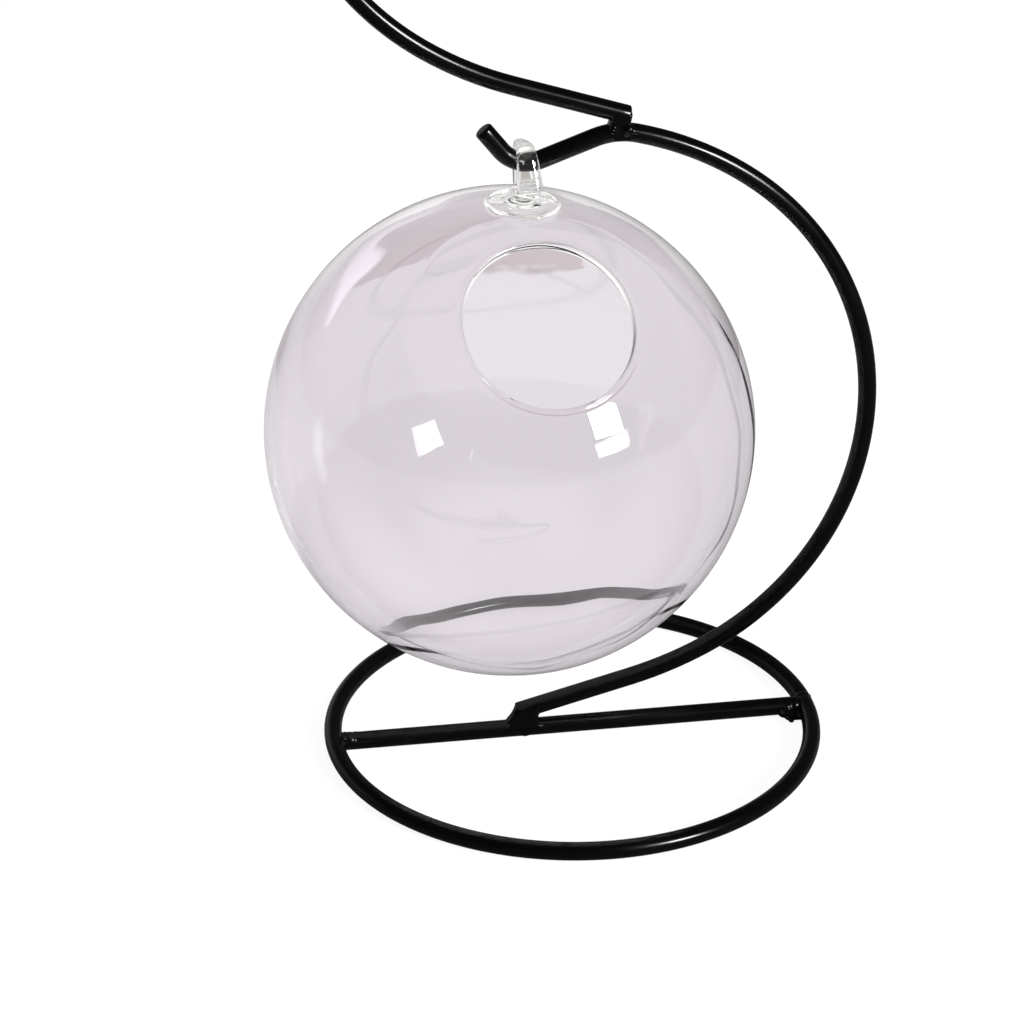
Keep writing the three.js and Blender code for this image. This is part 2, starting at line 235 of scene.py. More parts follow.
# Camera: where the photo was taken from. Its lens and place were worked out from the ring, the bar, the
# stem and the ball.
shot = dict(azimuth=-8.78, elevation=26.24, roll=-0.21, distance=790.9, target=(-15.43, 0, 64.06), lens=112)


def makeCamera():
    azimuth, elevation, roll = (math.radians(shot[key]) for key in ("azimuth", "elevation", "roll"))
    back = Vector((math.sin(azimuth) * math.cos(elevation), -math.cos(azimuth) * math.cos(elevation),
                   math.sin(elevation)))
    right = Vector((math.cos(azimuth), math.sin(azimuth), 0))
    up = back.cross(right)
    across = math.cos(roll) * right + math.sin(roll) * up
    upward = math.cos(roll) * up - math.sin(roll) * right
    data = bpy.data.cameras.new("photoCamera")
    data.lens = shot["lens"]
    data.sensor_width = 36
    data.clip_start = 0.01
    camera = bpy.data.objects.new("photoCamera", data)
    place = Matrix((across, upward, back)).transposed().to_4x4()
    place.translation = (Vector(shot["target"]) + shot["distance"] * back) * mm
    camera.matrix_world = place
    bpy.context.scene.collection.objects.link(camera)
    bpy.context.scene.camera = camera


makeCamera()
print("camera placed")

# Rods, written as a wire bender's list in millimetres and degrees: straight runs, and bends with a radius
# and a turn, where a positive turn goes left. The rods lie in the XZ plane.
rodStock = dict(diameter=4.57, skin=0.02, sides=40, endRound=0.5, endSteps=4, gap=0.3, turnPerStep=2.0,
                stepLength=2.5)
hookBends = dict(radius=8.6, turn=71.4, tip=6.9)
stemRod = dict(foot=-14.2, rise=14.7, endRounds=(0.2, 0.55), elbow=4, bends=[
    dict(run=30), dict(radius=95, turn=10.9), dict(radius=74.4, turn=119.4), dict(radius=82, turn=21.1),
    dict(radius=18, turn=33.8), dict(run=13.4),
    dict(radius=hookBends["radius"], turn=-hookBends["turn"]), dict(run=hookBends["tip"])])
armRod = dict(seatHeading=174.3, saddle=0.35, rise=17.5, bends=[
    dict(run=28.9), dict(radius=88, turn=-15.1), dict(radius=72, turn=-165.1), dict(run=9),
    dict(radius=hookBends["radius"], turn=hookBends["turn"]), dict(run=hookBends["tip"])])
baseRing = dict(diameter=122.9, jointAngle=2.1, jointWidth=1.8)
rodRadius = rodStock["diameter"] / 2
ringRadius = baseRing["diameter"] / 2
elbow = stemRod["bends"][stemRod["elbow"]]


def moved(x, z, heading, bend):
    a = math.radians(heading)
    if "run" in bend:
        return x + bend["run"] * math.cos(a), z + bend["run"] * math.sin(a), heading
    side = math.copysign(1, bend["turn"])
    b = math.radians(heading + bend["turn"])
    return (x + side * bend["radius"] * (math.sin(b) - math.sin(a)),
            z - side * bend["radius"] * (math.cos(b) - math.cos(a)), heading + bend["turn"])


def newRing(geometry):
    verts = [item for item in geometry if isinstance(item, bmesh.types.BMVert)]
    known = set(verts)
    edges = [item for item in geometry if isinstance(item, bmesh.types.BMEdge) and set(item.verts) <= known]
    return verts, edges


def capEnd(bm, edges, rounding):
    bmesh.ops.edgeloop_fill(bm, edges=edges)
    bmesh.ops.bevel(bm, geom=edges, offset=rounding * mm, offset_type="OFFSET",
                    segments=rodStock["endSteps"], profile=0.5, affect="EDGES", material=-1)


def bendRod(x, z, heading, bends, roundings=(rodStock["endRound"], rodStock["endRound"])):
    bm = bmesh.new()
    tilt = Matrix.Rotation(math.radians(90 - heading), 3, "Y")
    bmesh.ops.create_circle(bm, cap_ends=False, radius=(rodRadius - rodStock["skin"]) * mm,
                            segments=rodStock["sides"])
    bmesh.ops.rotate(bm, verts=bm.verts, cent=(0, 0, 0), matrix=tilt)
    bmesh.ops.translate(bm, verts=bm.verts, vec=(x * mm, 0, z * mm))
    firstEdges = bm.edges[:]
    verts, edges = bm.verts[:], firstEdges
    for bend in bends:
        a = math.radians(heading)
        if "run" in bend:
            steps = max(1, round(bend["run"] / rodStock["stepLength"]))
            step = Vector((math.cos(a), 0, math.sin(a))) * (bend["run"] / steps * mm)
            for part in range(steps):
                out = bmesh.ops.extrude_edge_only(bm, edges=edges)
                verts, edges = newRing(out["geom"])
                bmesh.ops.translate(bm, verts=verts, vec=step)
        else:
            aside = math.copysign(bend["radius"], bend["turn"])
            centre = Vector((x - aside * math.sin(a), 0, z + aside * math.cos(a))) * mm
            steps = max(2, math.ceil(abs(bend["turn"]) / rodStock["turnPerStep"]))
            out = bmesh.ops.spin(bm, geom=verts + edges, cent=centre, axis=(0, -1, 0), dvec=(0, 0, 0),
                                 angle=math.radians(bend["turn"]), steps=steps, use_duplicate=False)
            verts, edges = newRing(out["geom_last"])
        x, z, heading = moved(x, z, heading, bend)
    capEnd(bm, firstEdges, roundings[0])
    capEnd(bm, edges, roundings[1])
    return cleaned(bm)


def ringArc(start, turn):
    a = math.radians(start)
    arc = bendRod(ringRadius * math.cos(a), ringRadius * math.sin(a), start + 90,
                  [dict(radius=ringRadius, turn=turn)])
    bmesh.ops.rotate(arc, verts=arc.verts, cent=(0, 0, 0), matrix=Matrix.Rotation(math.radians(-90), 3, "X"))
    bmesh.ops.translate(arc, verts=arc.verts, vec=(0, 0, rodRadius * mm))
    return arc


def paintedRod(name, bm, node):
    finishPiece(toObject(name, bm), "stand", [node], blackPaint)


def makeRods():
    footHeight = rodStock["diameter"] + rodStock["gap"] + rodRadius * math.cos(math.radians(stemRod["rise"]))
    place = (stemRod["foot"], footHeight, stemRod["rise"])
    stem = bendRod(*place, stemRod["bends"], roundings=stemRod["endRounds"])
    for bend in stemRod["bends"][:stemRod["elbow"]]:
        place = moved(*place, bend)
    seatStart = place
    seat = moved(*place, dict(radius=elbow["radius"], turn=armRod["seatHeading"] - place[2]))
    lift = rodStock["diameter"] - armRod["saddle"]
    a = math.radians(armRod["seatHeading"])
    armStart = (seat[0] + lift * math.sin(a), seat[1] - lift * math.cos(a))
    arm = bendRod(*armStart, 180 - armRod["rise"], armRod["bends"])
    paintedRod("stemRodPainted", stem, "stem_rod")
    paintedRod("upperArmPainted", arm, "upper_arm_rod")
    length = baseRing["diameter"] - rodStock["diameter"] - 2 * rodStock["gap"]
    bar = bendRod(-length / 2, rodRadius, 0, [dict(run=length)])
    paintedRod("crossBarPainted", bar, "cross_bar")
    halfJoint = math.degrees(baseRing["jointWidth"] / 2 / ringRadius)
    ring = ringArc(baseRing["jointAngle"] + halfJoint, 360 - 2 * halfJoint)
    paintedRod("baseRingPainted", ring, "base_ring")
    return footHeight, seatStart, armStart


footHeight, seatStart, armStart = makeRods()
print("rods bent")

# Welds: short stubs of the rods, a web cut from plate and blobs of metal, grown together and smoothed until
# they flow into the rods. Places are in millimetres.
weldLook = dict(voxel=0.13, flow=12, floor=0.02, shineWay=(0.26, -0.87, 0.42))
footWeld = dict(
    barFrom=-21, barRun=17, stemRun=9, stemRounds=(0.1, 0.5),
    webs=[([(-14.55, 9.1), (-14.8, 8.2), (-15.2, 7.1), (-15.8, 6.0), (-16.6, 5.0), (-17.2, 4.2),
            (-17.0, 2.6), (-9.0, 2.6), (-8.8, 4.5), (-9.05, 5.3), (-8.7, 6.3), (-9.5, 8.6)], 2.4),
          ([(-13.9, 8.6), (-14.3, 7.6), (-14.7, 6.7), (-15.3, 5.7), (-16.0, 4.8), (-16.4, 2.6),
            (-9.2, 2.6), (-9.1, 4.5), (-9.2, 5.3), (-9.0, 6.3), (-9.5, 8.6)], 4.2)],
    blobs=[((-12.4, -1.2, 1.2), (1.5, 1.1, 0.85))],
    spots=[((-8.75, -2.3, 3.6), 0.7)])
armWeld = dict(
    elbowFrom=6, stemRun=3, armRun=10,
    webs=[([(7.9, 166.6), (8.1, 165.0), (7.8, 163.9), (6.8, 162.2), (8.6, 160.4), (13.6, 160.4),
            (13.9, 162.2), (13.0, 164.0), (13.3, 165.2), (13.5, 166.4), (13.3, 167.2), (11.5, 167.2)], 2.4),
          ([(8.2, 166.6), (8.4, 165.0), (8.1, 163.9), (7.5, 162.2), (8.7, 160.4), (13.2, 160.4),
            (13.5, 162.2), (12.8, 164.0), (13.0, 165.2), (13.2, 166.6)], 3.7),
          ([(8.7, 166.6), (8.9, 165.0), (8.7, 163.9), (8.2, 162.2), (9.0, 160.4), (13.0, 160.4),
            (13.3, 162.2), (12.7, 164.0), (12.8, 165.2), (13.0, 166.6)], 4.45)],
    spots=[((8.75, -2.9, 163.45), 0.85), ((12.7, -3.1, 163.6), 1.5), ((13.7, -2.95, 163.0), 0.8),
           ((14.5, -2.95, 162.95), 0.85), ((12.75, -2.3, 166.6), 0.8)])
barLeftWeld = dict(
    barFrom=-58.9, barRun=6, ringAt=180, ringReach=5,
    blobs=[((-58.7, 0, 2.4), (2.1, 2.55, 2.4)), ((-59.2, -0.8, 4.0), (1.0, 1.5, 1.0)),
           ((-55.9, 0.2, 3.9), (0.9, 1.2, 0.8))],
    spots=[((-56.95, -2.3, 3.7), 2.2)])
barRightWeld = dict(
    barFrom=53, barRun=6, ringAt=-2, ringReach=5,
    blobs=[((58.5, 0, 2.35), (2.2, 2.5, 2.3)), ((56.8, -2.3, 1.3), (3.0, 1.7, 1.3)),
           ((57.0, -3.7, 0.8), (1.7, 1.2, 0.8)), ((56.8, -4.8, 0.5), (0.75, 0.8, 0.5)),
           ((58.6, -2.3, 1.2), (1.6, 1.8, 1.1)), ((59.4, -3.6, 1.0), (1.1, 1.6, 0.95)),
           ((58.4, -3.6, 0.8), (1.2, 1.2, 0.8))],
    spots=[((55.6, -2.35, 3.3), 0.8), ((56.75, -2.45, 3.15), 1.6)])
ringWeld = dict(
    reach=5.0,
    blobs=[((61.4, 2.3, 2.35), (2.36, 0.8, 2.33)), ((63.1, 2.4, 2.9), (0.6, 0.9, 0.9))])


def addBlob(bm, centre, radii):
    out = bmesh.ops.create_icosphere(bm, subdivisions=3, radius=1)
    bmesh.ops.scale(bm, verts=out["verts"], vec=Vector(radii) * mm)
    bmesh.ops.translate(bm, verts=out["verts"], vec=Vector(centre) * mm)


def addWeb(bm, outline, thickness):
    half = thickness / 2
    verts = [bmesh.ops.create_vert(bm, co=Vector((x, -half, z)) * mm)["vert"][0] for x, z in outline]
    edges = []
    for near, far in zip(verts, verts[1:] + verts[:1]):
        edges += bmesh.ops.contextual_create(bm, geom=[near, far])["edges"]
    face = bmesh.ops.contextual_create(bm, geom=edges)["faces"]
    out = bmesh.ops.extrude_face_region(bm, geom=face)
    moving = [item for item in out["geom"] if isinstance(item, bmesh.types.BMVert)]
    bmesh.ops.translate(bm, verts=moving, vec=(0, thickness * mm, 0))


def growTogether(name, parts, voxel, flow):
    whole = bmesh.new()
    for part in parts:
        bmesh.ops.recalc_face_normals(part, faces=part.faces)
        spare = bpy.data.meshes.new("part")
        part.to_mesh(spare)
        part.free()
        whole.from_mesh(spare)
        bpy.data.meshes.remove(spare)
    piece = toObject(name, whole)
    remesh = piece.modifiers.new("Grow", "REMESH")
    remesh.mode = "VOXEL"
    remesh.voxel_size = voxel * mm
    smooth = piece.modifiers.new("Flow", "SMOOTH")
    smooth.factor = 0.5
    smooth.iterations = flow
    applyModifiers(piece)
    return piece


def blobsAndWeb(weld):
    parts = []
    for centre, radii in weld.get("blobs", []):
        part = bmesh.new()
        addBlob(part, centre, radii)
        parts.append(part)
    for place, radius in weld.get("spots", []):
        part = bmesh.new()
        addBlob(part, Vector(place) - radius * Vector(weldLook["shineWay"]), (radius,) * 3)
        parts.append(part)
    for outline, thickness in weld.get("webs", []):
        part = bmesh.new()
        addWeb(part, outline, thickness)
        parts.append(part)
    return parts


def makeWeld(name, node, weld, stubs):
    piece = growTogether(name, blobsAndWeb(weld) + stubs, weldLook["voxel"], weldLook["flow"])
    for vert in piece.data.vertices:
        vert.co.z = max(vert.co.z, weldLook["floor"] * mm)
    finishPiece(piece, "stand", [node], blackPaint, 180)


def barEnd(weld):
    return [bendRod(weld["barFrom"], rodRadius, 0, [dict(run=weld["barRun"])]),
            ringArc(weld["ringAt"] - weld["ringReach"], 2 * weld["ringReach"])]


def makeWelds():
    makeWeld("stemFootWeldPainted", "stem_foot_weld", footWeld, [
        bendRod(footWeld["barFrom"], rodRadius, 0, [dict(run=footWeld["barRun"])]),
        bendRod(stemRod["foot"], footHeight, stemRod["rise"], [dict(run=footWeld["stemRun"])],
                roundings=footWeld["stemRounds"])])
    place = moved(*seatStart, dict(radius=elbow["radius"], turn=armWeld["elbowFrom"]))
    makeWeld("armWeldPainted", "arm_weld", armWeld, [
        bendRod(*place, [dict(radius=elbow["radius"], turn=elbow["turn"] - armWeld["elbowFrom"]),
                         dict(run=armWeld["stemRun"])]),
        bendRod(*armStart, 180 - armRod["rise"], [dict(run=armWeld["armRun"])])])
    makeWeld("barLeftWeldPainted", "bar_weld_left", barLeftWeld, barEnd(barLeftWeld))
    makeWeld("barRightWeldPainted", "bar_weld_right", barRightWeld, barEnd(barRightWeld))
    makeWeld("ringWeldPainted", "ring_closing_weld", ringWeld, [
        ringArc(baseRing["jointAngle"] - ringWeld["reach"], 2 * ringWeld["reach"])])


makeWelds()
print("welds made")

# Blown ball, with its pad and loop fused on. The frame says where the ball's middle and the hook are. The
# wall is waved inside, thicker at one side and thinner in a ragged belt round the mouth.
ball = dict(diameter=120, mouthWall=1.9, backWall=2.1, skin=0.04, around=256, along=120,
            mouthWidth=41.7, mouthHeight=43.5, mouthElevation=48.3, mouthTurn=1.5, ovalReach=1.6,
            lipThickness=2.2, lipProud=0.22, lipSteps=20, lipTuck=0.12, lipMargin=0.15, innerMargin=1,
            innerWave=0.10, outerWave=0.03, waveSize=16, innerSeed=1, outerSeed=9, waveFrom=0.25,
            thickSide=(0.97, -0.1, -0.2), thickening=0.35, thickSpread=3,
            thinBy=0.95, thinFrom=1.5, thinOver=11.5, thinRagged=1.2, thinTail=0.55)
pad = dict(diameter=18.6, edge=1.2, height=4.2, neck=4.6, moundTop=1.8, forward=3.8, sideLean=0.7, sink=0.5,
           around=96,
           blobs=[((1.3, -3.4, 61.3), (3.3, 1.7, 1.5)), ((0.9, 2.6, 61.3), (3.1, 1.8, 1.5)),
                  ((-2.2, -1.2, 61.9), (1.4, 1.3, 1.3)), ((-3.6, -1.6, 61.2), (1.3, 1.1, 1.1)),
                  ((-5.0, -2.0, 60.6), (1.3, 1.0, 0.9)), ((-6.3, -2.3, 60.2), (1.0, 0.9, 0.7)),
                  ((4.6, -2.2, 60.7), (1.3, 1.2, 1.0)), ((6.0, -1.8, 60.2), (1.0, 1.0, 0.7))])
loop = dict(eyeDrop=2.3, width=4.2, thickness=2.5, eyeRoom=0.8, seatGap=0.6, legLean=8, legRun=7.0,
            sideLean=6.2, footGrow=1.6, growFrom=13, crestSlope=0.3, around=28, legSteps=6, archSteps=40,
            voxel=0.2, flow=10)
ballRadius = ball["diameter"] / 2
pivotHeight = ballRadius + pad["height"] + loop["eyeDrop"] + rodRadius
swing = frame["joints"][0]
hookPoint = Vector(swing["pos_m"])
ballLow, ballHigh = (Vector(corner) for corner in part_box("glass_ball"))
ballCentre = (ballLow + ballHigh) / 2
hang = (ballCentre - hookPoint).normalized()
leanBack = math.asin(hang.y)
leanSide = math.atan2(hang.x, hang.z) if hang.z > 0 else math.atan2(-hang.x, -hang.z)
hangTurn = Matrix.Rotation(leanSide, 4, "Y") @ Matrix.Rotation(leanBack, 4, "X")
fromBall = Matrix.Translation(hookPoint) @ hangTurn @ Matrix.Translation((0, 0, -pivotHeight * mm))
lipCentre = ballRadius - (ball["mouthWall"] + ball["backWall"]) / 4
widthAngle = math.asin(ball["mouthWidth"] / 2 / lipCentre)
heightAngle = math.asin(ball["mouthHeight"] / 2 / lipCentre)
mouthAngle = (widthAngle + heightAngle) / 2


def polar(radius, angle):
    return Vector((radius * math.sin(angle), 0, radius * math.cos(angle))) * mm


def spinPoint(bm, vert, centre, angle, steps):
    out = bmesh.ops.spin(bm, geom=[vert], cent=centre, axis=(0, 1, 0), dvec=(0, 0, 0), angle=angle,
                         steps=steps, use_duplicate=False)
    return [item for item in out["geom_last"] if isinstance(item, bmesh.types.BMVert)][0]


def stepTo(bm, vert, place):
    out = bmesh.ops.extrude_vert_indiv(bm, verts=[vert])
    out["verts"][0].co = place
    return out["verts"][0]


def makeBall():
    bm = bmesh.new()
    lipRadius = ball["lipThickness"] / 2
    beadRadius = ballRadius + ball["lipProud"] - lipRadius
    innerShift = (ball["backWall"] - ball["mouthWall"]) / 2
    innerRadius = ballRadius - (ball["mouthWall"] + ball["backWall"]) / 2
    back = math.acos((ballRadius - beadRadius) / lipRadius)
    tucked = back - ball["lipTuck"]
    wallEnd = mouthAngle + (lipRadius * math.sin(back) + ball["lipMargin"]) / ballRadius
    innerEnd = wallEnd + ball["innerMargin"] / ballRadius
    first = bmesh.ops.create_vert(bm, co=polar(-ballRadius, 0))["vert"][0]
    last = spinPoint(bm, first, (0, 0, 0), -(math.pi - wallEnd), ball["along"])
    lipMiddle = polar(beadRadius, mouthAngle)
    lipStart = Matrix.Rotation(tucked, 3, "Y") @ lipMiddle.normalized()
    last = stepTo(bm, last, lipMiddle + lipStart * lipRadius * mm)
    last = spinPoint(bm, last, lipMiddle, -(math.pi + tucked), ball["lipSteps"])
    last = stepTo(bm, last, polar(innerRadius, innerEnd) + Vector((0, 0, innerShift * mm)))
    last = spinPoint(bm, last, (0, 0, innerShift * mm), math.pi - innerEnd, ball["along"])
    last.co.x = 0
    bmesh.ops.spin(bm, geom=bm.verts[:] + bm.edges[:], cent=(0, 0, 0), axis=(0, 0, 1), dvec=(0, 0, 0),
                   angle=2 * math.pi, steps=ball["around"], use_merge=True, use_duplicate=False)
    return cleaned(bm)


def thinned(angle, around):
    raggedness = noise.noise(Vector((math.cos(around), math.sin(around), 5)) * 2)
    over = ball["thinOver"] + ball["thinRagged"] * raggedness
    past = (angle - mouthAngle) * ballRadius - ball["thinFrom"]
    tail = 1 - max(0, past - over) / (math.pi * ballRadius * ball["thinTail"])
    return ball["thinBy"] * max(0, min(1, past / over)) * max(0, tail)


def shapeBall(bm):
    stretch = (heightAngle - widthAngle) / 2
    thickSide = Vector(ball["thickSide"]).normalized()
    upright = Matrix.Rotation(math.radians(90 - ball["mouthElevation"]), 3, "X")
    aside = Matrix.Rotation(math.radians(ball["mouthTurn"]), 3, "Z")
    for vert in bm.verts:
        far = vert.co.length
        angle = math.acos(max(-1, min(1, vert.co.z / far)))
        around = math.atan2(vert.co.y, vert.co.x)
        t = max(0, min(1, (angle - mouthAngle) / (ball["ovalReach"] * mouthAngle)))
        angle -= stretch * (1 - t * t * (3 - 2 * t)) * math.cos(2 * around)
        inside = far < lipCentre * mm
        wave = ball["innerWave"] if inside else ball["outerWave"]
        seed = ball["innerSeed"] if inside else ball["outerSeed"]
        out = math.sin(angle)
        way = Vector((out * math.cos(around), out * math.sin(around), math.cos(angle)))
        clear = max(0, min(1, (angle - mouthAngle) / ball["waveFrom"]))
        ripple = noise.noise(way * ballRadius / ball["waveSize"] + Vector((3, 7, seed)))
        swell = wave * clear * (ripple if inside else ripple - 1) - ball["skin"]
        if inside:
            towards = max(0, (upright @ way).dot(thickSide))
            swell -= ball["thickening"] * clear * towards ** ball["thickSpread"]
            swell += thinned(angle, around)
        vert.co = way * (far + swell * mm)
    bmesh.ops.rotate(bm, verts=bm.verts, cent=(0, 0, 0), matrix=upright)
    bmesh.ops.rotate(bm, verts=bm.verts, cent=(0, 0, 0), matrix=aside)
    return bm


def makePad():
    bm = bmesh.new()
    under = ballRadius - pad["sink"]
    reach = pad["diameter"] / 2
    rimHeight = math.sqrt(ballRadius ** 2 - reach ** 2)
    edge = pad["edge"]
    top = ballRadius + pad["moundTop"]
    profile = [(0, under - 0.4), (reach - 0.6, rimHeight - pad["sink"]),
               (reach - 0.1, rimHeight + 0.1 * edge), (reach, rimHeight + 0.5 * edge),
               (reach - 0.3 * edge, rimHeight + 0.95 * edge),
               (reach - 0.9 * edge, rimHeight + 1.15 * edge), (reach - 1.8 * edge, rimHeight + 1.1 * edge),
               (pad["neck"], ballRadius + 0.35), (0.75 * pad["neck"], ballRadius + 0.5 * pad["moundTop"]),
               (0.45 * pad["neck"], top - 0.15), (0, top)]
    vert = bmesh.ops.create_vert(bm, co=Vector((0, 0, profile[0][1])) * mm)["vert"][0]
    verts = [vert]
    for x, z in profile[1:]:
        vert = stepTo(bm, vert, Vector((x, 0, z)) * mm)
        verts.append(vert)
    edges = [edge for vert in verts for edge in vert.link_edges]
    bmesh.ops.spin(bm, geom=verts + list(set(edges)), cent=(0, 0, 0), axis=(0, 0, 1), dvec=(0, 0, 0),
                   angle=2 * math.pi, steps=pad["around"], use_merge=True, use_duplicate=False)
    forward = Matrix.Rotation(math.radians(pad["forward"]), 3, "X")
    sideways = Matrix.Rotation(math.radians(-pad["sideLean"]), 3, "Y")
    bmesh.ops.rotate(bm, verts=bm.verts, cent=(0, 0, 0), matrix=sideways @ forward)
    return cleaned(bm)


def makeLoop():
    bm = bmesh.new()
    archRadius = rodRadius + loop["eyeRoom"] + loop["thickness"] / 2
    heading = 90 + loop["legLean"]
    a = math.radians(heading)
    x = -archRadius * math.sin(a) - loop["legRun"] * math.cos(a)
    z = archRadius * math.cos(a) - loop["legRun"] * math.sin(a)
    bmesh.ops.create_circle(bm, cap_ends=False, radius=1, segments=loop["around"])
    bmesh.ops.scale(bm, verts=bm.verts, vec=(loop["thickness"] / 2 * mm, loop["width"] / 2 * mm, 1))
    tilt = Matrix.Rotation(math.radians(90 - heading), 3, "Y")
    bmesh.ops.rotate(bm, verts=bm.verts, cent=(0, 0, 0), matrix=tilt)
    bmesh.ops.translate(bm, verts=bm.verts, vec=(x * mm, 0, z * mm))
    firstEdges = bm.edges[:]
    edges = firstEdges
    leg = dict(run=loop["legRun"])
    for bend in [leg, dict(radius=archRadius, turn=-(180 + 2 * loop["legLean"])), leg]:
        parts = loop["legSteps"] if "run" in bend else loop["archSteps"]
        for part in range(parts):
            if "run" in bend:
                small = dict(run=bend["run"] / parts)
            else:
                small = dict(radius=bend["radius"], turn=bend["turn"] / parts)
            nextX, nextZ, nextHeading = moved(x, z, heading, small)
            out = bmesh.ops.extrude_edge_only(bm, edges=edges)
            verts, edges = newRing(out["geom"])
            bmesh.ops.rotate(bm, verts=verts, cent=(x * mm, 0, z * mm),
                             matrix=Matrix.Rotation(math.radians(heading - nextHeading), 3, "Y"))
            bmesh.ops.translate(bm, verts=verts, vec=Vector((nextX - x, 0, nextZ - z)) * mm)
            x, z, heading = nextX, nextZ, nextHeading
    bmesh.ops.edgeloop_fill(bm, edges=firstEdges)
    bmesh.ops.edgeloop_fill(bm, edges=edges)
    low = min(vert.co.z for vert in bm.verts)
    for vert in bm.verts:
        t = max(0, 1 - (vert.co.z - low) / (loop["growFrom"] * mm))
        vert.co.y *= 1 + (loop["footGrow"] - 1) * t
    bmesh.ops.rotate(bm, verts=bm.verts, cent=(0, 0, 0), matrix=Matrix.Rotation(math.radians(90), 3, "Z"))
    for vert in bm.verts:
        vert.co.z -= loop["crestSlope"] * vert.co.x * max(0, vert.co.z) / (archRadius * mm)
    bmesh.ops.translate(bm, verts=bm.verts, vec=(0, 0, (loop["seatGap"] - loop["eyeRoom"]) * mm))
    ahead = ballRadius * math.sin(math.radians(pad["forward"]))
    below = pivotHeight - ballRadius * math.cos(math.radians(pad["forward"]))
    forward = Matrix.Rotation(-math.atan(ahead / below), 3, "X")
    sideways = Matrix.Rotation(math.radians(-loop["sideLean"]), 3, "Y")
    bmesh.ops.rotate(bm, verts=bm.verts, cent=(0, 0, 0), matrix=sideways @ forward)
    bmesh.ops.translate(bm, verts=bm.verts, vec=(0, 0, pivotHeight * mm))
    return cleaned(bm)


def makeGlassPiece():
    shell = toObject("glassBallBlown", shapeBall(makeBall()))
    fused = growTogether("gather", blobsAndWeb(pad) + [makePad(), makeLoop()], loop["voxel"], loop["flow"])
    union = shell.modifiers.new("Fused", "BOOLEAN")
    union.operation = "UNION"
    union.solver = "EXACT"
    union.object = fused
    applyModifiers(shell)
    bpy.data.objects.remove(fused)
    shell.data.transform(fromBall)
    return shell


glassPiece = makeGlassPiece()
blownGlass = makeGlass(ballCentre, ballRadius)
finishPiece(glassPiece, "glass", ["glass_ball", "loop_pad", "hanging_loop"], blownGlass, 60)
print("glass blown:", len(glassPiece.data.polygons), "faces")

# Studio: a pale floor, a dim room and a softbox at the right. The floor and the room are white to the camera.
# Seen through glass, the floor is lilac near the vase and greyer far behind it, with a ragged edge: that grey
# is painted shade, and a strip far behind at the left glows brighter than white as painted light. Reflections
# see the floor faintly, with a painted reflection, a bright patch at the left behind. Pairs are where
# something starts and where it ends.
softbox = dict(azimuth=39.5, elevation=21.3, distance=2.6, width=0.64, height=0.60, radiance=92)
floorLook = dict(size=2.2, depth=-0.0003, matte=(0.12, 0.118, 0.12, 1), white=(0.92, 0.92, 0.92, 1),
                 mirror=0.05, paintedReflectionLeft=0.7, leftFrom=(-0.05, -0.075), leftPast=(0.06, 0.09),
                 near=(0.68, 0.655, 0.675, 1), far=(0.47, 0.405, 0.42, 1), fadedShade=(0.62, 0.575, 0.60, 1),
                 beside=(1.08, 1.0, 1.08, 1), outer=(0.64, 0.61, 0.64, 1),
                 farStart=0.345, besideStart=0.30, edgeSoft=0.004, fade=(0.42, 0.60), right=(0.085, 0.13),
                 ragged=0.009, raggedScale=70, raggedRange=(0.3, 0.7),
                 sideStart=-0.1236, sideSlant=0.25, sideSoft=0.002, outerStart=-0.052,
                 middle=(0.008, 0.0615), middleSoft=0.003, middleNearer=0.026)
roomLook = dict(diffuse=(0.45, 0.44, 0.45, 1), mirror=(0.065, 0.065, 0.068, 1),
                mirrorBehind=(0.42, 0.40, 0.42, 1), behindLow=(0.24, 0.42), behindBack=(0.1, 0.35),
                behindLeft=(0.0, 0.3), throughLow=(0.5, 0.46, 0.48, 1), throughHigh=(1.2, 1.2, 1.17, 1),
                throughFront=(0.2, 0.2, 0.2, 1), throughRise=(0.0, 0.5), frontEnd=(-0.15, 0.3),
                overhead=(0.6, 0.85))


def direction(azimuth, elevation):
    a, e = math.radians(azimuth), math.radians(elevation)
    return Vector((math.sin(a) * math.cos(e), -math.cos(a) * math.cos(e), math.sin(e)))


def makeSoftbox(name, box):
    data = bpy.data.lights.new(name, "AREA")
    data.shape = "RECTANGLE"
    data.size = box["width"]
    data.size_y = box["height"]
    data.energy = box["radiance"] * math.pi * box["width"] * box["height"]
    lamp = bpy.data.objects.new(name, data)
    way = direction(box["azimuth"], box["elevation"])
    lamp.location = ballCentre + way * box["distance"]
    lamp.rotation_mode = "QUATERNION"
    lamp.rotation_quaternion = way.to_track_quat("Z", "Y")
    bpy.context.scene.collection.objects.link(lamp)


